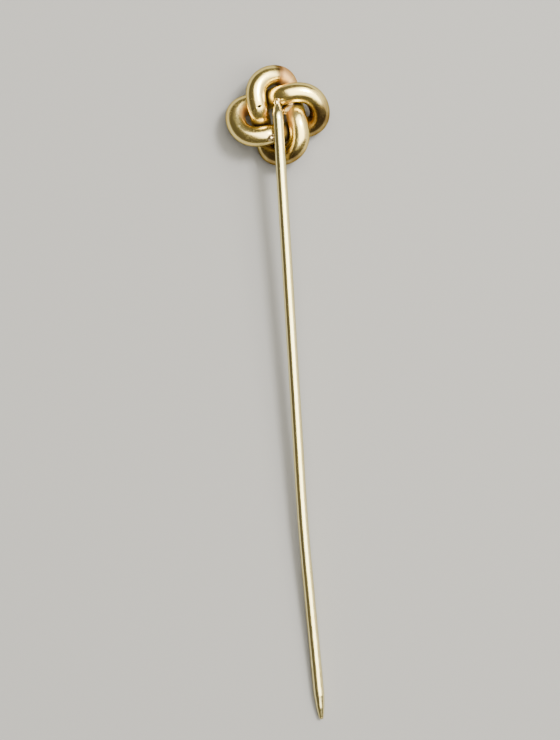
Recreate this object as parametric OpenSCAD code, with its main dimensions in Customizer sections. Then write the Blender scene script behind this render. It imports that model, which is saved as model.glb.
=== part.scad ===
// Stick pin with a lover's-knot head, lying on its front with the lower end of its stem on the surface.
// +X points from the point of the stem to the head, +Z away from the knot's front.

/* [Whole pin] */
// Length from the point to the top of the knot
total_l = 63.5; // [55:0.5:80]

/* [Knot of hollow tube] */
// Outer diameter of the tube that both loops are bent from
tube_d = 1.92; // [1.7:0.02:1.92]
// Thickness of the tube's wall
wall_t = 0.2; // [0.12:0.02:0.4]
// Half the length of the loop that runs along the pin, to the middle of its tube
long_half = 3.86; // [3.8:0.02:4.1]
// Half the length of the loop that lies across the pin
cross_half = 4.06; // [3.86:0.02:4.2]
// Half the width of each loop before it is squared and leaned
loop_half_w = 1.95; // [1.93:0.01:2]
// How square the ends of each loop are
loop_square = 0.1; // [0.08:0.01:0.12]
// Sideways lean of each loop's ends
loop_lean = 0.4; // [0.35:0.01:0.45]
// Extra slant of each leg between its two crossings
leg_slant = 0.2; // [0.15:0.01:0.22]
// Height of a tube's middle above the knot's middle where it passes over
loop_lift = 0.97; // [0.97:0.01:1.05]
// Turn of the knot on the stem, in degrees
knot_turn = 4; // [0:0.5:6]
// Width of the soldered butt joint in each loop
seam_w = 0.14; // [0.1:0.02:0.2]
// Diameter of the vent hole that lets air out while the tube is soldered
vent_d = 0.3; // [0.2:0.05:0.4]
// Distance of the vent hole from the top of the tube, towards the knot's middle
vent_in = 0.18; // [0:0.02:0.24]

/* [Stem] */
// Diameter of the stem's wire
stem_d = 1.0; // [0.8:0.05:1.1]
// Angle of the stem's upper part to the whole pin's line, in degrees
stem_swing = 0.7; // [0:0.1:1.5]
// Distance of the faint bend from the knot's middle
bend_at = 40; // [30:1:42]
// Angle of the faint bend, in degrees
bend_a = 2; // [1:0.5:3]
// Length of the taper down to the point
point_l = 2.2; // [1.5:0.1:4]
// Radius of the rounded point
point_r = 0.22; // [0.15:0.01:0.3]
// Angle that the filed neck dips towards the knot, in degrees
neck_dip = 28; // [24:1:28]
// Length of the filed taper of the neck
neck_l = 1.1; // [1:0.05:1.1]
// Radius of the neck's rounded end
neck_r = 0.3; // [0.25:0.01:0.3]

/* [Solder] */
// Radius of the tack between two tubes that cross
tack_r = 0.55; // [0.4:0.05:0.6]
// Radius of the bead round the stem's neck
bead_r = 0.45; // [0.4:0.05:0.5]
// Radius of the saddle under the stem
saddle_r = 0.75; // [0.7:0.01:0.8]

/* [Hidden] */
$fn = 48;

tube_r = tube_d / 2;
stem_r = stem_d / 2;
// A loop is drawn by the angle from its end: over its partner at over_a, under it at under_a,
// and the same again half a turn on
over_a = 72;
under_a = 120;
half_turn = 180;
// The seam sits on the dive before the second under-crossing, the vent just past the first over-crossing
seam_a = 288;
vent_a = 80;
ring_count = 80;
side_count = 16;
// Gap left for solder between two pieces that touch
solder_gap = 0.02;

// --- the loops' middle line ---

function loop_x(a, half) = half * cos(a);
function loop_y(a) =
    loop_half_w * (sin(a) + loop_square * sin(3 * a)) + loop_lean * cos(a) - leg_slant * cos(3 * a);

// Between the crossings the tube dives from over to under in two arcs of one radius
function dive_run(half) = loop_x(over_a, half) - loop_x(under_a, half);
function dive_r(half) = (pow(dive_run(half) / 2, 2) + pow(loop_lift, 2)) / (2 * loop_lift);
function arc_drop(s, r) = r - sqrt(r * r - s * s);
function dive_z(s, half) =
    s < dive_run(half) / 2
        ? loop_lift - arc_drop(s, dive_r(half))
        : arc_drop(dive_run(half) - s, dive_r(half)) - loop_lift;

// Round the end of the loop it climbs back in one smooth wave
function climb_z(a) = -loop_lift * cos(half_turn * (a - under_a) / (half_turn - under_a + over_a));

function first_half(a) = over_a + (a - over_a + 4 * half_turn) % half_turn;
function loop_z(a, half) =
    first_half(a) <= under_a
        ? dive_z(loop_x(over_a, half) - loop_x(first_half(a), half), half)
        : climb_z(first_half(a));

function loop_point(a, half) = [loop_x(a, half), loop_y(a), loop_z(a, half)];
function unit(v) = v / norm(v);
function loop_dir(a, half) = unit(loop_point(a + 0.4, half) - loop_point(a - 0.4, half));

// --- rings of points round that line ---

function ring(a, half, r) =
    let (
        p = loop_point(a, half),
        along = loop_dir(a, half),
        side = unit(cross([0, 0, 1], along)),
        up = cross(along, side)
    )
    [for (k = [0 : side_count - 1])
        let (b = 360 * k / side_count) p + r * (cos(b) * side + sin(b) * up)];

// Two triangles between ring i and ring i + 1, for side k, of a tube whose points start at "first"
function skin(first, i, k, out) =
    let (
        a = first + i * side_count + k,
        b = first + i * side_count + (k + 1) % side_count,
        c = a + side_count,
        d = b + side_count
    )
    out ? [[a, d, b], [a, c, d]] : [[a, b, d], [a, d, c]];

// Angles of the rings from one lip of the butt joint round to the other
seam_half_a = 0.5 * seam_w / norm(loop_point(seam_a + 0.5, long_half) - loop_point(seam_a - 0.5, long_half));
ring_step = (360 - 2 * seam_half_a) / (ring_count - 1);
function ring_a(i) = seam_a + seam_half_a + i * ring_step;
all_rings = [for (i = [0 : ring_count - 1]) ring_a(i)];
seam_rings = [ring_a(ring_count - 1), ring_a(0) + 360];
// Rings within "reach" degrees of angle a, for cutting a neighbour to the tube's own surface
function rings_near(a, reach) =
    [for (back = [-360, 0], t = all_rings) if (abs(t + back - a % 360) < reach) t + back];

module solid_rod(half, angles) {
    n = len(angles);
    points = [for (t = angles) each ring(t, half, tube_r)];
    faces = concat(
        [for (i = [0 : n - 2], k = [0 : side_count - 1]) each skin(0, i, k, true)],
        [[for (k = [0 : side_count - 1]) k]],
        [[for (k = [0 : side_count - 1]) n * side_count - 1 - k]]
    );
    polyhedron(points, faces);
}

module hollow_tube(half, angles) {
    n = len(angles);
    inner = n * side_count;
    last = (n - 1) * side_count;
    points = concat(
        [for (t = angles) each ring(t, half, tube_r)],
        [for (t = angles) each ring(t, half, tube_r - wall_t)]
    );
    faces = concat(
        [for (i = [0 : n - 2], k = [0 : side_count - 1]) each skin(0, i, k, true)],
        [for (i = [0 : n - 2], k = [0 : side_count - 1]) each skin(inner, i, k, false)],
        [for (k = [0 : side_count - 1])
            let (m = (k + 1) % side_count) each [[k, m, inner + k], [m, inner + m, inner + k]]],
        [for (k = [0 : side_count - 1])
            let (m = (k + 1) % side_count)
            each [[last + k, inner + last + k, last + m], [last + m, inner + last + k, inner + last + m]]]
    );
    polyhedron(points, faces);
}

// --- where things sit ---

// The knot turned on the stem: the long loop, and the cross loop a quarter turn from it
module long_way() {
    rotate([0, 0, -knot_turn]) children();
}
module cross_way() {
    rotate([0, 0, -knot_turn - 90]) children();
}

function turned(p, a) = [p.x * cos(a) - p.y * sin(a), p.x * sin(a) + p.y * cos(a), p.z];
knot_line = [
    for (a = [0 : 3 : 357]) each [
        turned(loop_point(a, long_half), -knot_turn),
        turned(loop_point(a, cross_half), -knot_turn - 90)
    ]
];

// The stem's neck ends on the cross loop's upper leg, and the stem lies on its lower leg
upper_leg_a = 90;
lower_leg_a = 270;
leg_x = loop_y(lower_leg_a);

// The stem rests on whatever stands highest under it, with a hair left for solder
rest_gap = tube_r + stem_r + solder_gap;
function stem_off(p) = p.y + p.x * tan(stem_swing);
stem_z = max([for (p = knot_line)
    if (p.x < 0 && abs(stem_off(p)) < rest_gap) p.z + sqrt(pow(rest_gap, 2) - pow(stem_off(p), 2))]);

knot_top = max([for (p = knot_line) p.x]) + tube_r;
point_x = knot_top - total_l + point_r;

// The pin tilts until the knot's lowest side and the start of the stem's last taper touch one surface
rest_x = point_x + point_l;
function high(p, t) = p.x * sin(t) + p.z * cos(t);
function knot_low(t) = min([for (p = knot_line) high(p, t)]) - tube_r;
function stem_low(t) = high([rest_x, 0, stem_z], t) - stem_r;
function settled(t, tries) =
    tries == 0 ? t : settled(t + (stem_low(t) - knot_low(t)) / -rest_x * 180 / PI, tries - 1);
lie_a = settled(0, 6);

function far(p, t) = p.x * cos(t) - p.z * sin(t);
head_reach = max([for (p = knot_line) far(p, lie_a)]) + tube_r;
point_reach = far([point_x, 0, stem_z], lie_a) - point_r;

module laid() {
    translate([-(head_reach + point_reach) / 2, 0, -knot_low(lie_a)]) rotate([0, -lie_a, 0]) children();
}

// --- the stem ---

// A ball a hair wider than the wire rounds each bend, and the straight runs stop just inside it
ball_r = stem_r + 0.015;
inset = 0.1;
neck_start = -0.3;
neck_straight = 0.3;
shank_l = -point_x - bend_at - point_l;

// Half outline of a round rod that tapers to a rounded end, drawn from just past the bend it leaves
function rod_outline(long, taper, end_r) = concat(
    [[0, inset], [stem_r, inset], [stem_r, long], [0.56 * stem_r + 0.5 * end_r, long + 0.55 * taper]],
    [for (a = [0 : 15 : 90]) [end_r * cos(a), long + taper + end_r * sin(a)]]
);

module stem_line() {
    translate([0, 0, stem_z]) rotate([0, 0, -stem_swing]) children();
}

module along_neck() {
    stem_line() translate([neck_start, 0, 0]) rotate([0, 90 + neck_dip, 0]) children();
}

module neck() {
    rotate_extrude() polygon(rod_outline(neck_straight, neck_l, neck_r));
}

module stem_body() {
    along_neck() {
        sphere(r = ball_r);
        neck();
    }
    stem_line() {
        translate([inset - bend_at, 0, 0]) rotate([0, 90, 0])
            cylinder(h = bend_at + neck_start - 2 * inset, r = stem_r);
        translate([-bend_at, 0, 0]) {
            sphere(r = ball_r);
            rotate([0, 0, bend_a]) rotate([0, -90, 0])
                rotate_extrude() polygon(rod_outline(shank_l, point_l, point_r));
        }
    }
}

// --- sub-parts ---

module long_loop() {
    color("gold") laid() long_way() difference() {
        hollow_tube(long_half, all_rings);
        translate(loop_point(vent_a, long_half) - [0, vent_in, 0]) cylinder(h = tube_d, d = vent_d);
    }
}

module cross_loop() {
    color("goldenrod") laid() cross_way() hollow_tube(cross_half, all_rings);
}

module long_loop_seam() {
    color("khaki") laid() long_way() hollow_tube(long_half, seam_rings);
}

module cross_loop_seam() {
    color("khaki") laid() cross_way() hollow_tube(cross_half, seam_rings);
}

module stem() {
    color("palegoldenrod") laid() stem_body();
}

module stem_end_solder() {
    color("peru") laid() difference() {
        along_neck() translate([neck_r / 2, 0, neck_straight + neck_l]) sphere(r = bead_r);
        cross_way() solid_rod(cross_half, rings_near(upper_leg_a, 30));
        along_neck() neck();
    }
}

module stem_leg_solder() {
    color("peru") laid() difference() {
        translate([leg_x, 0, stem_z - stem_r]) sphere(r = saddle_r);
        cross_way() solid_rod(cross_half, rings_near(lower_leg_a, 30));
        stem_line() translate([2 * leg_x, 0, 0]) rotate([0, 90, 0]) cylinder(h = -2 * leg_x, r = stem_r);
    }
}

// Tack i sits in the crook of crossing i: the loops change places from one crossing to the next
module crossing_solder(i) {
    long_over = i % 2 == 1;
    back = i > 2 ? half_turn : 0;
    at = loop_point(over_a, long_over ? long_half : cross_half);
    color("peru") laid() difference() {
        rotate([0, 0, back - knot_turn - (long_over ? 0 : 90)])
            translate([at.x, at.y, -tube_r / 2]) cylinder(h = tube_r, r = tack_r);
        long_way() solid_rod(long_half, rings_near(back + (long_over ? over_a : under_a + half_turn), 24));
        cross_way() solid_rod(cross_half, rings_near(back + (long_over ? under_a : over_a), 24));
    }
}

long_loop();
cross_loop();
long_loop_seam();
cross_loop_seam();
stem();
stem_end_solder();
stem_leg_solder();
for (i = [1 : 4]) {
    crossing_solder(i);
}
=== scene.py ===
"""Looks of the stick pin: polished tube knot, drawn wire stem and solder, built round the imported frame."""

import math

import bmesh
import bpy
import numpy as np
from mathutils import Matrix, Vector


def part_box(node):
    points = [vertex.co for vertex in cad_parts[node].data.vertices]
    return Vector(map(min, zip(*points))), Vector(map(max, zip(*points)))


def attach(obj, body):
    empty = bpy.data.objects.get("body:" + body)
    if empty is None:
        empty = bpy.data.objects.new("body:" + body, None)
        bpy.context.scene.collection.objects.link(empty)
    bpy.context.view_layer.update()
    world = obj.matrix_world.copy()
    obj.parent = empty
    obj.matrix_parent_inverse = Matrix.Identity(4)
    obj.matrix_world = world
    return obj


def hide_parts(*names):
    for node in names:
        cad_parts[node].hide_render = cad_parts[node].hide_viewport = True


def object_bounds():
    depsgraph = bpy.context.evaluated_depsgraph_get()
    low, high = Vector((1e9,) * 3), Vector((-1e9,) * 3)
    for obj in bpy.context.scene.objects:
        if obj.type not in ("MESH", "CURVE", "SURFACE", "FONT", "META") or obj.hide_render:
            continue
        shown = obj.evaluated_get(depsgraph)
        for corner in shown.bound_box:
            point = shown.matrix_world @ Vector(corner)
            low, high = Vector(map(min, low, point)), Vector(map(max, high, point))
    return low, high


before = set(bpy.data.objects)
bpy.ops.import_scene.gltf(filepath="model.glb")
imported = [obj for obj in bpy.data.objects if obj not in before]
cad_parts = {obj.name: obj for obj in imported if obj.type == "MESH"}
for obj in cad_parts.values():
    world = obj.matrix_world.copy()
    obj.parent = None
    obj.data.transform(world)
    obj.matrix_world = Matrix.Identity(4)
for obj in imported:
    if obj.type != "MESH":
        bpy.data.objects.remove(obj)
cad_low, cad_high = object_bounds()

MM = 0.001

# --- the design, in millimetres and degrees, in the knot's own frame ---
# +X points to the top of the head, +Z away from the knot's front; the knot's middle is the origin

TUBE_R = 0.96
WALL = 0.2
LOOP_HALF_W = 1.95
LOOP_SQUARE = 0.1
LOOP_LEAN = 0.4
LEG_SLANT = 0.2
LOOP_LIFT = 0.97
OVER_A = 72
UNDER_A = 120
SEAM_A = 288
SEAM_HALF_A = 0.55
VENT_A = 80
VENT_IN = 0.18
VENT_HALF_L = 0.22
VENT_HALF_W = 0.13
LONG = {"node": "long_loop", "half": 3.86, "turn": -4, "seed": 3}
CROSS = {"node": "cross_loop", "half": 4.06, "turn": -94, "seed": 11}

STEM_R = 0.5
STEM_Z = 2.158
STEM_SWING = 0.7
NECK_AT = 0.3
NECK_DIP = 28
NECK_STRAIGHT = 0.3
NECK_L = 1.1
NECK_R = 0.3
BEND_AT = 40
BEND_A = 2
SHANK_L = 16.25
POINT_L = 2.2
POINT_R = 0.22
LIE_A = 3.787


def rotation(axis, degrees):
    return np.array(Matrix.Rotation(math.radians(degrees), 3, axis))


def unit(v):
    v = np.asarray(v, float)
    return v / np.linalg.norm(v, axis=-1, keepdims=True)


def loop_z(degrees, half):
    """Height of a loop's middle line: two equal arcs down between the crossings, one wave back up."""
    q = OVER_A + np.mod(degrees - OVER_A, 180)
    over_x = half * math.cos(math.radians(OVER_A))
    run = over_x - half * math.cos(math.radians(UNDER_A))
    bend = ((run / 2) ** 2 + LOOP_LIFT**2) / (2 * LOOP_LIFT)
    s = np.clip(over_x - half * np.cos(np.radians(q)), 0, run)
    drop = bend - np.sqrt(bend**2 - np.minimum(s, run - s) ** 2)
    dive = np.where(s < run / 2, LOOP_LIFT - drop, drop - LOOP_LIFT)
    climb = -LOOP_LIFT * np.cos(np.pi * (q - UNDER_A) / (180 - UNDER_A + OVER_A))
    return np.where(q <= UNDER_A, dive, climb)


def loop_line(loop, degrees):
    """Points of a loop's middle line."""
    degrees = np.asarray(degrees, float)
    a = np.radians(degrees)
    y = LOOP_HALF_W * (np.sin(a) + LOOP_SQUARE * np.sin(3 * a)) + LOOP_LEAN * np.cos(a)
    y = y - LEG_SLANT * np.cos(3 * a)
    points = np.stack([loop["half"] * np.cos(a), y, loop_z(degrees, loop["half"])], axis=-1)
    return points @ rotation("Z", loop["turn"]).T


WHOLE_TURN = np.arange(0, 360, 0.5)
TILT = rotation("Y", -LIE_A)


def knot_middle():
    """The knot's middle, in metres: where the long loop's own box has the same centre as its CAD node's."""
    line = loop_line(LONG, WHOLE_TURN) @ TILT.T
    own = (line.min(axis=0) + line.max(axis=0)) / 2
    return np.mean(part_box("long_loop"), axis=0) - own * MM


MIDDLE = knot_middle()


def laid(points):
    """Points of the knot's frame, in millimetres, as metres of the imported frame."""
    return np.asarray(points) @ TILT.T * MM + MIDDLE


def bump(points, size, seed):
    """Smooth noise, mostly from -1 to 1, with swells about size millimetres apart: a sum of seeded waves."""
    draw = np.random.default_rng(seed)
    waves = unit(draw.normal(size=(14, 3))) * draw.uniform(0.6, 1.4, (14, 1)) * np.pi / size
    return np.sin(points @ waves.T + draw.uniform(0, 2 * np.pi, 14)).sum(axis=-1) / 4


# --- meshes ---

# Points measured against a line at a time, to spare memory
CHUNK = 20000


def new_piece(name, points, faces, sharp=50):
    mesh = bpy.data.meshes.new(name)
    mesh.from_pydata([tuple(p) for p in laid(points)], [], faces)
    work = bmesh.new()
    work.from_mesh(mesh)
    bmesh.ops.recalc_face_normals(work, faces=work.faces)
    work.to_mesh(mesh)
    work.free()
    mesh.shade_smooth()
    mesh.set_sharp_from_angle(angle=math.radians(sharp))
    piece = bpy.data.objects.new(name, mesh)
    bpy.context.scene.collection.objects.link(piece)
    return piece


def ring_frames(line):
    """Unit vectors across a middle line, one level and one upright, for each of its points."""
    along = unit(np.gradient(line, axis=0))
    side = unit(np.cross([0, 0, 1], along))
    return side, np.cross(along, side)


def skin(line, radius, sides):
    """Rings of points round a line. radius is one number, or one for each point."""
    side, up = ring_frames(line)
    b = np.linspace(0, 2 * np.pi, sides, endpoint=False)[None, :, None]
    radius = np.broadcast_to(radius, (len(line), sides))
    return line[:, None] + radius[:, :, None] * (np.cos(b) * side[:, None] + np.sin(b) * up[:, None])


def skin_faces(rings, sides, first=0):
    """Four-sided faces between neighbouring rings whose points start at first."""
    faces = []
    for i in range(rings - 1):
        for k in range(sides):
            a, b = first + i * sides + k, first + i * sides + (k + 1) % sides
            faces.append((a, b, b + sides, a + sides))
    return faces


def isosurface(low, high, step, field):
    """Points and faces of the surface where field is 0, by averaging the cuts in each cell of a grid."""
    axes = [np.arange(a, b + step, step) for a, b in zip(low, high)]
    grid = np.stack(np.meshgrid(*axes, indexing="ij"), axis=-1)
    value = field(grid.reshape(-1, 3)).reshape(grid.shape[:3])
    cells = np.array(value.shape) - 1
    total, count = np.zeros((*cells, 3)), np.zeros(cells)
    around = []
    for axis in range(3):
        i, j = (k for k in range(3) if k != axis)
        a, b = np.delete(value, -1, axis), np.delete(value, 0, axis)
        start = np.argwhere((a < 0) != (b < 0))
        across = start[:, [i, j]]
        start = start[((across > 0) & (across < cells[[i, j]])).all(axis=1)]
        at = tuple(start.T)
        cut = grid[at].copy()
        cut[:, axis] += step * a[at] / (a[at] - b[at])
        corners = []
        for back_i, back_j in ((0, 0), (1, 0), (1, 1), (0, 1)):
            cell = start.copy()
            cell[:, i] -= back_i
            cell[:, j] -= back_j
            np.add.at(total, tuple(cell.T), cut)
            np.add.at(count, tuple(cell.T), 1)
            corners.append(cell)
        around.append(np.stack(corners, axis=1))
    number = np.cumsum(count.ravel() > 0).reshape(count.shape) - 1
    faces = number[tuple(np.moveaxis(np.concatenate(around), -1, 0))]
    return total[count > 0] / count[count > 0][:, None], faces


def largest_part(points, faces):
    """The largest connected part of a mesh, without crumbs."""
    part = np.arange(len(points))
    while True:
        least = part[faces].min(axis=1)
        new = part.copy()
        np.minimum.at(new, faces, least[:, None])
        new = new[new]
        if (new == part).all():
            break
        part = new
    names, sizes = np.unique(part, return_counts=True)
    keep = part == names[sizes.argmax()]
    number = np.cumsum(keep) - 1
    return points[keep], number[faces[keep[faces[:, 0]]]]


def mark(piece, name, values):
    """Stores one number for each point of a piece, for its material to read."""
    attribute = piece.data.attributes.new(name, "FLOAT", "POINT")
    attribute.data.foreach_set("value", np.asarray(values, np.float32))


def points_of(piece):
    """A piece's points in the knot's frame, in millimetres."""
    co = np.zeros(len(piece.data.vertices) * 3)
    piece.data.vertices.foreach_get("co", co)
    return (co.reshape(-1, 3) - MIDDLE) / MM @ TILT


def distance_to(points, line):
    """Distance from each point to the nearest point of a line."""
    found = np.empty(len(points))
    for first in range(0, len(points), CHUNK):
        some = points[first : first + CHUNK]
        square = (line**2).sum(axis=1) - 2 * some @ line.T
        found[first : first + CHUNK] = square.min(axis=1) + (some**2).sum(axis=1)
    return np.sqrt(np.maximum(found, 0))


# --- the two loops ---

TUBE_RINGS = 520
TUBE_SIDES = 48
# The vent's drill runs from inside the tube's bore to clear of its top
DRILL_FROM = 0.55
DRILL_TO = 1.4
DRILL_SIDES = 32


def tube_radius(points, seed):
    """A hand-bent tube is a little uneven: long faint swells, and shorter fainter ones from polishing."""
    return TUBE_R * (1 + 0.009 * bump(points, 2.3, seed) + 0.0018 * bump(points, 0.7, seed + 9))


def hollow_tube(name, line, outer):
    """A length of tube with a wall and two flat lips. outer holds a radius for each point."""
    out = skin(line, outer, TUBE_SIDES)
    hollow = skin(line, TUBE_R - WALL, TUBE_SIDES)
    n = len(line) * TUBE_SIDES
    faces = skin_faces(len(line), TUBE_SIDES) + skin_faces(len(line), TUBE_SIDES, n)
    for lip in (0, n - TUBE_SIDES):
        for k in range(TUBE_SIDES):
            m = (k + 1) % TUBE_SIDES
            faces.append((lip + k, lip + m, n + lip + m, n + lip + k))
    return new_piece(name, np.concatenate([out.reshape(-1, 3), hollow.reshape(-1, 3)]), faces)


def tube_piece(loop):
    line = loop_line(loop, np.linspace(SEAM_A + SEAM_HALF_A, SEAM_A + 360 - SEAM_HALF_A, TUBE_RINGS))
    radius = tube_radius(skin(line, TUBE_R, TUBE_SIDES), loop["seed"])
    return hollow_tube(loop["node"] + "_tube", line, radius)


def seam_piece(loop):
    """Solder that fills the butt joint and stands a hair proud of it."""
    across = np.linspace(-1, 1, 13)
    line = loop_line(loop, SEAM_A + 2.2 * SEAM_HALF_A * across)
    crown = TUBE_R - 0.006 + 0.02 * np.cos(across * np.pi / 2)
    uneven = 0.006 * bump(skin(line, TUBE_R, TUBE_SIDES), 0.4, loop["seed"])
    return hollow_tube(loop["node"] + "_seam_bead", line, crown[:, None] + uneven)


def cut_vent(piece):
    """The vent hole in the long loop's wall, a slot that was pressed flat."""
    line = loop_line(LONG, [VENT_A - 1, VENT_A, VENT_A + 1])
    across, _ = ring_frames(line)
    middle = line[1] - VENT_IN * across[1] * np.sign(across[1][1])
    b = np.linspace(0, 2 * np.pi, DRILL_SIDES, endpoint=False)[:, None]
    along = unit(line[2] - line[0])
    slot = middle + VENT_HALF_L * np.cos(b) * across[1] + VENT_HALF_W * np.sin(b) * along
    rims = np.concatenate([slot + (0, 0, DRILL_FROM), slot + (0, 0, DRILL_TO)])
    caps = [tuple(range(DRILL_SIDES)), tuple(range(DRILL_SIDES, 2 * DRILL_SIDES))]
    drill = new_piece("vent_drill", rims, skin_faces(2, DRILL_SIDES) + caps)
    cut = piece.modifiers.new("vent", "BOOLEAN")
    cut.operation = "DIFFERENCE"
    cut.solver = "EXACT"
    cut.object = drill
    evaluated = piece.evaluated_get(bpy.context.evaluated_depsgraph_get())
    whole, piece.data = piece.data, bpy.data.meshes.new_from_object(evaluated)
    piece.modifiers.clear()
    bpy.data.meshes.remove(whole)
    bpy.data.objects.remove(drill)


# --- the stem ---

STEM_SIDES = 40
STEM_STEP = 0.02
NECK_BEND_RUN = 0.9
FAINT_BEND_RUN = 11
HEAD_END = NECK_AT - NECK_STRAIGHT - NECK_L - NECK_R
POINT_END = BEND_AT + SHANK_L + POINT_L + POINT_R


def ease(s, middle, run):
    """0 before middle, 1 after it, over a run of this length."""
    t = np.clip((s - middle) / run + 0.5, 0, 1)
    return t * t * (3 - 2 * t)


def stem_line(s):
    """The stem's middle line by length along it: it rises out of the knot, runs straight, bends a little."""
    fine = np.arange(HEAD_END - 1, POINT_END + 1, STEM_STEP)
    dip = np.radians(NECK_DIP * (1 - ease(fine, NECK_AT, NECK_BEND_RUN)))
    bend = np.radians(BEND_A * ease(fine, BEND_AT, FAINT_BEND_RUN))
    heading = np.stack([-np.cos(dip) * np.cos(bend), -np.sin(bend), np.sin(dip)], axis=-1)
    path = np.cumsum(heading, axis=0) * STEM_STEP
    straight = np.argmin(np.abs(fine - 5))
    path = path - path[straight] - (fine[straight], 0, 0)
    path = path @ rotation("Z", -STEM_SWING).T + (0, 0, STEM_Z)
    return np.stack([np.interp(s, fine, path[:, k]) for k in range(3)], axis=-1)


def stem_radius(s):
    """The wire's radius: filed to the neck, full, then tapered to the blunt point, both ends rounded."""
    neck = [HEAD_END + NECK_R, HEAD_END + NECK_R + 0.5 * NECK_L, NECK_AT - NECK_STRAIGHT, 1.2]
    point = [POINT_END - POINT_R - POINT_L, POINT_END - POINT_R - 0.45 * POINT_L, POINT_END - POINT_R]
    body = np.interp(s, neck + point, [NECK_R, 0.43, STEM_R, STEM_R, STEM_R, 0.39, POINT_R])
    for end, r in ((HEAD_END, NECK_R), (POINT_END, POINT_R)):
        depth = np.clip(np.abs(s - end), 0, r)
        body = np.where(depth < r, np.sqrt(np.maximum(r**2 - (r - depth) ** 2, 0)), body)
    return body


def stem_piece():
    """The drawn wire: even near the knot, with more and more waves in its surface past the bend."""
    s = np.concatenate([
        HEAD_END + NECK_R * (1 - np.cos(np.linspace(0.06, 1, 12) * np.pi / 2)),
        np.arange(HEAD_END + NECK_R + 0.06, POINT_END - POINT_R - 0.03, 0.06),
        POINT_END - POINT_R * (1 - np.cos(np.linspace(1, 0.06, 12) * np.pi / 2)),
    ])
    line, radius = stem_line(s), stem_radius(s)
    surface = skin(line, STEM_R, STEM_SIDES)
    worked = 0.25 + 0.75 * ease(s, BEND_AT + 2, 14)
    uneven = 0.012 * bump(surface, 1.1, 5) + 0.006 * bump(surface, 0.45, 8)
    radius = radius[:, None] * (1 + 0.9 * worked[:, None] * uneven)
    points = skin(line, radius, STEM_SIDES).reshape(-1, 3)
    faces = skin_faces(len(s), STEM_SIDES)
    last = len(points) - STEM_SIDES
    poles = stem_line(np.array([HEAD_END, POINT_END]))
    for k in range(STEM_SIDES):
        m = (k + 1) % STEM_SIDES
        faces.append((k, m, len(points)))
        faces.append((last + m, last + k, len(points) + 1))
    return new_piece("stem_wire", np.concatenate([points, poles]), faces, 80)


# --- the solder ---

# How far solder reaches into the metal it joins, and the least thickness that it is drawn at
EMBED = 0.03
FEATHER = 0.006
SOLDER_STEP = 0.028
LUMP_BLEND = 0.18
TACK_SIZE = 0.75
TACK_SPREAD = 0.42
NEARBY = 2.4


def blended(a, b, reach):
    """The smaller of two distances, rounded off where they are nearly the same."""
    h = np.clip(reach - np.abs(a - b), 0, None) / np.maximum(reach, 1e-6)
    return np.minimum(a, b) - h * h * reach / 4


def solder_piece(name, at, size, first, second, lumps, spread, seed):
    """Solder run into the corner between two rods, with any lumps: what a smooth blend adds to them."""

    def field(p):
        a, b = first(p), second(p)
        away = np.linalg.norm(p - at, axis=1)
        reach = spread * np.clip(1.25 - away / size, 0, 1) * (1 + 0.25 * bump(p, 0.45, seed))
        bare = np.minimum(a, b)
        run = blended(a, b, reach)
        for centre, r in lumps:
            run = blended(run, np.linalg.norm(p - centre, axis=1) - r, LUMP_BLEND)
        return np.max([run, -a - EMBED, -b - EMBED, FEATHER - (bare - run)], axis=0)

    furthest = max([np.linalg.norm(np.subtract(c, at)) + r for c, r in lumps], default=0)
    box = size * 1.3 + furthest * 0.5
    points, faces = largest_part(*isosurface(np.subtract(at, box), np.add(at, box), SOLDER_STEP, field))
    return new_piece(name, points, [tuple(f) for f in faces.tolist()], 60)


def near_line(line, at):
    """The stretch of a line that is near a place."""
    return line[np.linalg.norm(line - at, axis=1) < NEARBY]


def rod(line, radius):
    """Distance from a point to a round rod about a line."""
    return lambda p: distance_to(p, line) - radius


FINE = {loop["node"]: loop_line(loop, np.arange(0, 360, 0.35)) for loop in (LONG, CROSS)}

# The run of solder that leaves crossing 2 for the neck: place of each lump from the crossing, and radius
TACK_LUMPS = {
    2: [
        ((-0.73, 0.19, 0.35), 0.26),
        ((-0.98, 0.08, 0.48), 0.28),
        ((-1.22, 0.02, 0.58), 0.31),
        ((-1.4, 0.26, 0.62), 0.33),
        ((-1.56, 0.5, 0.62), 0.33),
        ((-1.68, 0.72, 0.62), 0.27),
    ],
}


def crossing_piece(i):
    """Crossing i: the long loop is over at 1 and 3; 3 and 4 are half a turn on from 1 and 2."""
    over, under = (LONG, CROSS) if i % 2 else (CROSS, LONG)
    top = loop_line(over, [OVER_A + (180 if i > 2 else 0)])[0]
    beneath = FINE[under["node"]]
    beneath = beneath[beneath[:, 2] < 0]
    low = beneath[np.argmin(np.linalg.norm(beneath - top, axis=1))]
    at = (top + low) / 2
    rods = [rod(near_line(FINE[loop["node"]], at), TUBE_R) for loop in (over, under)]
    lumps = [(at + np.array(offset), r) for offset, r in TACK_LUMPS.get(i, [])]
    return solder_piece(f"crossing_{i}_tack", at, TACK_SIZE, *rods, lumps, TACK_SPREAD, i)


NECK_S = np.arange(HEAD_END + NECK_R, 6, 0.04)
NECK_LINE = stem_line(NECK_S)


def stem_rod(p):
    """Distance from a point to the stem's upper end, with its tapered neck."""
    found = np.empty(len(p))
    for first in range(0, len(p), CHUNK):
        some = p[first : first + CHUNK]
        square = (NECK_LINE**2).sum(axis=1) - 2 * some @ NECK_LINE.T + (some**2).sum(axis=1)[:, None]
        found[first : first + CHUNK] = (np.sqrt(np.maximum(square, 0)) - stem_radius(NECK_S)).min(axis=1)
    return found


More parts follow.
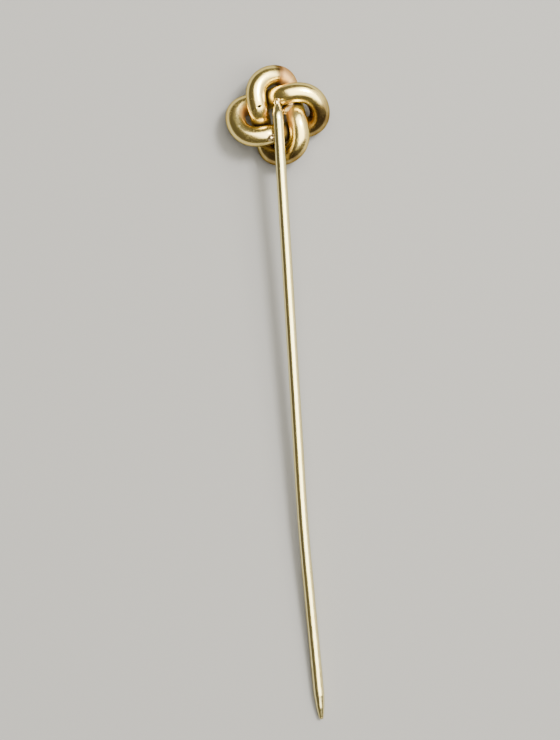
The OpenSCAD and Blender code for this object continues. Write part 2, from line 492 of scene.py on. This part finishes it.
def stem_solder(name, s, lumps, spread, size, seed):
    """Solder between the stem, at this length along it, and the cross loop's nearest leg."""
    middle = stem_line(np.array([s]))[0]
    line = FINE["cross_loop"]
    nearest = line[np.argmin(np.linalg.norm(line - middle, axis=1))]
    at = nearest + unit(middle - nearest) * TUBE_R
    leg = near_line(line, at)
    lumps = [(at + np.array(offset), r) for offset, r in lumps]
    return solder_piece(name, at, size, rod(leg, TUBE_R), stem_rod, lumps, spread, seed)


HEAD_LUMP = ((0.0, 0.12, 0.24), 0.27)
LEG_LUMP = ((0.02, 0.5, 0.16), 0.25)
made = {
    "long_loop": tube_piece(LONG),
    "cross_loop": tube_piece(CROSS),
    "long_loop_seam": seam_piece(LONG),
    "cross_loop_seam": seam_piece(CROSS),
    "stem": stem_piece(),
    "stem_end_solder": stem_solder("stem_end_bead", HEAD_END + NECK_R, [HEAD_LUMP], 0.36, 0.5, 21),
    "stem_leg_solder": stem_solder("stem_leg_bead", 2.55, [LEG_LUMP], 0.42, 0.7, 27),
}
for i in range(1, 5):
    made[f"crossing_solder_{i}"] = crossing_piece(i)
cut_vent(made["long_loop"])

# --- what each point's material needs to know: how deep in a crevice it is, for tarnish and painted shade, and its patch of painted reflection or of patina and painted shade ---

CREVICE_REACH = 0.7
SOLDER_SHARE = 0.35


def mark_crevice_tarnish_and_shade():
    """Marks points close to another piece for tarnish and painted shade, and all of the tubes' inner walls
    for painted shade.
    """
    stem = stem_line(np.arange(0, 6, 0.1))
    for node, piece in made.items():
        points = points_of(piece)
        gap = np.full(len(points), 9.0)
        # Painted shade: the tubes' inner walls count as the deepest crevice, so their colour is painted dark
        if node in FINE:
            inside = distance_to(points, FINE[node][::3]) < TUBE_R - WALL / 2
            gap[inside] = 0
        for other in ("long_loop", "cross_loop"):
            if other != node:
                gap = np.minimum(gap, np.abs(distance_to(points, FINE[other][::3]) - TUBE_R))
        if node != "stem":
            gap = np.minimum(gap, distance_to(points, stem) - STEM_R)
        share = 1 if node in FINE or node == "stem" else SOLDER_SHARE
        # Tarnish and painted shade: the nearer a point lies to another piece, the darker its colour is
        # painted
        mark(piece, "crevice_tarnish_and_shade", share * np.clip(1 - gap / CREVICE_REACH, 0, 1) ** 2)


mark_crevice_tarnish_and_shade()

# Patches of coppery tone, a painted reflection of the gold next to it, and of browned metal, partly patina
# and partly painted shade: loop, angle on it, distance inwards, radius and soft edge
PATCHES = {
    # Painted reflection: coppery tone where the gold shows warm reflections of its neighbours
    "copper_reflection": [
        (LONG, -48, 0, 1.1, 0.2),
        (LONG, -34, 0, 1.1, 0.15),
        (LONG, -20, 0, 1.1, 0.1),
        (LONG, -10, 0, 1.1, 0.08),
        (CROSS, 165, 0.75, 1.1, 0.5),
        (CROSS, 180, 0.75, 1.1, 0.5),
        (LONG, 250, 0.75, 1.1, 0.5),
        (LONG, 262, 0.75, 1.15, 0.5),
        (LONG, 276, 0.75, 1.1, 0.5),
    ],
    # Partly patina, partly painted shade: browned metal on the lobes that lie in shade
    "brown_patina_and_shade": [
        (CROSS, -50, 0, 1.6, 0.7),
        (CROSS, -34, 0, 1.6, 0.7),
        (CROSS, -18, 0.1, 1.6, 0.7),
        (CROSS, -4, 0.1, 1.6, 0.6),
        (CROSS, 10, 0.3, 1.5, 0.5),
        (LONG, 205, 0, 1.6, 0.7),
        (LONG, 190, 0, 1.6, 0.7),
        (LONG, 172, 0, 1.6, 0.7),
        (LONG, 155, 0, 1.5, 0.7),
        (LONG, -1, 0, 1.06, 0.1),
    ],
}


def mark_patches():
    """Marks the loops' points that lie in each patch of painted coppery reflection and of browned metal with
    painted shade.
    """
    for name, patches in PATCHES.items():
        for node in ("long_loop", "cross_loop"):
            points = points_of(made[node])
            found = np.zeros(len(points))
            for loop, a, inward, radius, soft in patches:
                if loop["node"] == node:
                    at = loop_line(loop, [a])[0]
                    at = at - unit(at * (1, 1, 0)) * inward
                    away = np.linalg.norm(points - at, axis=1)
                    found = np.maximum(found, np.clip((radius - away) / soft, 0, 1))
            mark(made[node], name, found)


mark_patches()

# --- materials ---

EDGE_TINT = (0.36, 0.29, 0.13)
# Colour of the painted coppery reflection
REFLECTION_COPPER = (0.58, 0.3, 0.13)
# Browned metal, partly patina and partly painted shade
PATINA_AND_SHADE_BROWN = (0.16, 0.075, 0.03)


def gold(name, bright, warm, tarnish_and_shade_colour, rough, grain, worn):
    """Polished or drawn gold: warm patches, fine scratches along the grain, tarnish and painted shade in the
    crevices, a painted coppery reflection, and browned patches of patina and painted shade.
    """
    material = bpy.data.materials.new(name)
    material.use_nodes = True
    nodes, links = material.node_tree.nodes, material.node_tree.links
    shader = nodes["Principled BSDF"]
    shader.inputs["Metallic"].default_value = 1.0
    shader.inputs["Specular Tint"].default_value = (*EDGE_TINT, 1)

    def node(kind, **values):
        made_node = nodes.new(kind)
        for key, value in values.items():
            if hasattr(made_node, key):
                setattr(made_node, key, value)
            else:
                made_node.inputs[key.replace("_", " ")].default_value = value
        return made_node

    place = node("ShaderNodeTexCoord").outputs["Object"]

    def cloud(scale, detail, squeeze=(1, 1, 1)):
        mapping = node("ShaderNodeMapping")
        mapping.inputs["Scale"].default_value = squeeze
        links.new(place, mapping.inputs["Vector"])
        found = node("ShaderNodeTexNoise", Scale=scale, Detail=detail)
        links.new(mapping.outputs["Vector"], found.inputs["Vector"])
        return found.outputs["Fac"]

    def span(value, low, high, to_low, to_high):
        found = node("ShaderNodeMapRange")
        limits = {"From Min": low, "From Max": high, "To Min": to_low, "To Max": to_high}
        for key, number in limits.items():
            found.inputs[key].default_value = number
        links.new(value, found.inputs["Value"])
        return found.outputs["Result"]

    def mixed(share, a, b):
        found = node("ShaderNodeMix", data_type="RGBA")
        links.new(share, found.inputs[0])
        for socket, colour in ((found.inputs[6], a), (found.inputs[7], b)):
            if isinstance(colour, tuple):
                socket.default_value = (*colour, 1)
            else:
                links.new(colour, socket)
        return found.outputs[2]

    def sums(*values):
        total = values[0]
        for value in values[1:]:
            found = node("ShaderNodeMath", operation="ADD")
            links.new(total, found.inputs[0])
            links.new(value, found.inputs[1])
            total = found.outputs[0]
        return total

    # Tarnish and painted shade: this mark darkens the crevices and the tubes' inner walls
    crevice_tarnish_and_shade = node("ShaderNodeAttribute", attribute_name="crevice_tarnish_and_shade").outputs["Fac"]
    patches = cloud(420, 3)
    scratches = span(cloud(2600, 4, grain), 0.62, 0.78, 0, 1)
    smears = cloud(1500, 5)
    colour = mixed(span(patches, 0.42, 0.7, 0, 1), bright, warm)
    copper_reflection = node("ShaderNodeAttribute", attribute_name="copper_reflection").outputs["Fac"]
    brown_patina_and_shade = node("ShaderNodeAttribute", attribute_name="brown_patina_and_shade").outputs["Fac"]
    # Painted reflection: coppery tone mixed in where the copper patches lie
    colour = mixed(span(copper_reflection, 0, 1, 0, 0.85), colour, REFLECTION_COPPER)
    # Partly patina, partly painted shade: browned metal mixed in where the brown patches lie
    colour = mixed(span(brown_patina_and_shade, 0, 1, 0, 0.85), colour, PATINA_AND_SHADE_BROWN)
    # Painted shade with some tarnish in the crevices, plus real smears, darken the colour
    dirt_and_shade = sums(span(crevice_tarnish_and_shade, 0.02, 0.55, 0, 0.95), span(smears, 0.68, 0.82, 0, 0.3))
    links.new(mixed(dirt_and_shade, colour, tarnish_and_shade_colour), shader.inputs["Base Color"])
    roughness = sums(
        span(patches, 0.3, 0.7, rough, rough + 0.05),
        span(scratches, 0, 1, 0, worn),
        span(crevice_tarnish_and_shade, 0, 0.6, 0, 0.3),
        span(copper_reflection, 0, 1, 0, 0.25),
    )
    links.new(roughness, shader.inputs["Roughness"])
    relief = node("ShaderNodeBump", Strength=0.25, Distance=0.00002)
    links.new(sums(span(scratches, 0, 1, 0, -1), span(smears, 0, 1, 0, 0.6)), relief.inputs["Height"])
    links.new(relief.outputs["Normal"], shader.inputs["Normal"])
    return material


finishes = {
    "tube_gold": gold(
        "tube_gold",
        bright=(1, 0.82, 0.32),
        warm=(0.96, 0.74, 0.27),
        tarnish_and_shade_colour=(0.07, 0.035, 0.015),
        rough=0.2,
        grain=(1, 1, 0.15),
        worn=0.12,
    ),
    "stem_gold": gold(
        "stem_gold",
        bright=(1, 0.89, 0.46),
        warm=(0.97, 0.84, 0.4),
        tarnish_and_shade_colour=(0.18, 0.1, 0.05),
        rough=0.2,
        grain=(0.06, 1, 1),
        worn=0.16,
    ),
    "solder_gold": gold(
        "solder_gold",
        bright=(0.96, 0.8, 0.46),
        warm=(0.9, 0.66, 0.38),
        tarnish_and_shade_colour=(0.3, 0.17, 0.08),
        rough=0.16,
        grain=(1, 1, 1),
        worn=0.1,
    ),
}
slots = {"stem": "stem_gold", "long_loop": "tube_gold", "cross_loop": "tube_gold"}
for node, piece in made.items():
    slot = slots.get(node, "solder_gold")
    piece.data.materials.clear()
    piece.data.materials.append(finishes[slot])
    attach(piece, "root")
    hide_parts(node)

# --- floor, light and camera, in metres ---

FLOOR_HALF = 1.5
FLOOR_GAP = 0.0001


def flat_material(name, colour, rough):
    material = bpy.data.materials.new(name)
    material.use_nodes = True
    shader = material.node_tree.nodes["Principled BSDF"]
    shader.inputs["Base Color"].default_value = (*colour, 1)
    shader.inputs["Roughness"].default_value = rough
    return material


floor_mesh = bpy.data.meshes.new("floor")
corners = [(x * FLOOR_HALF, y * FLOOR_HALF, 0) for x, y in ((-1, -1), (1, -1), (1, 1), (-1, 1))]
floor_mesh.from_pydata(corners, [], [(0, 1, 2, 3)])
floor_mesh.materials.append(flat_material("floor", (0.22, 0.22, 0.23), 0.9))
floor = bpy.data.objects.new("floor", floor_mesh)
floor.location.z = cad_low.z - FLOOR_GAP
bpy.context.scene.collection.objects.link(floor)

middle = Vector(MIDDLE)


def panel(name, towards, distance, width, height, power, colour):
    """A soft light panel that faces the knot from a direction."""
    data = bpy.data.lights.new(name, "AREA")
    data.shape = "RECTANGLE"
    data.size, data.size_y = width, height
    data.energy = power
    data.color = colour
    light = bpy.data.objects.new(name, data)
    direction = Vector(towards).normalized()
    light.location = middle + direction * distance
    light.rotation_euler = (-direction).to_track_quat("-Z", "Y").to_euler()
    bpy.context.scene.collection.objects.link(light)


panel("key", (0.12, -0.36, 1), 0.6, 0.9, 0.75, 16, (1, 0.96, 0.8))
panel("lamp", (0.3, -0.5, 1), 0.6, 0.14, 0.14, 7, (1, 0.97, 0.88))
panel("wall", (0.2, -1, 0.35), 0.7, 0.8, 0.4, 1.5, (1, 0.93, 0.8))

world = bpy.data.worlds.new("room")
bpy.context.scene.world = world
world.use_nodes = True
background = world.node_tree.nodes["Background"]
background.inputs["Color"].default_value = (0.3, 0.26, 0.18, 1)
background.inputs["Strength"].default_value = 0.35

# The camera looks straight down, and the picture's up is the head's way, turned a little about the vertical
PICTURE_TURN = -4.23
PICTURE_H = 0.0713
LENS = 85
SENSOR = 36
AIM_RIGHT = 0.00022
AIM_DOWN = 0.02454
data = bpy.data.cameras.new("camera")
data.lens = LENS
data.sensor_width = SENSOR
distance = PICTURE_H / 2 / math.tan(math.atan(SENSOR / 2 / LENS))
up = Matrix.Rotation(math.radians(PICTURE_TURN), 3, "Z") @ Vector((1, 0, 0))
right = up.cross(Vector((0, 0, 1)))
aim = middle + right * AIM_RIGHT - up * AIM_DOWN
camera = bpy.data.objects.new("camera", data)
camera.location = aim + Vector((0, 0, distance))
camera.rotation_mode = "QUATERNION"
camera.rotation_quaternion = Matrix((right, up, Vector((0, 0, 1)))).transposed().to_quaternion()
data.clip_start = 0.01
bpy.context.scene.collection.objects.link(camera)
bpy.context.scene.camera = camera
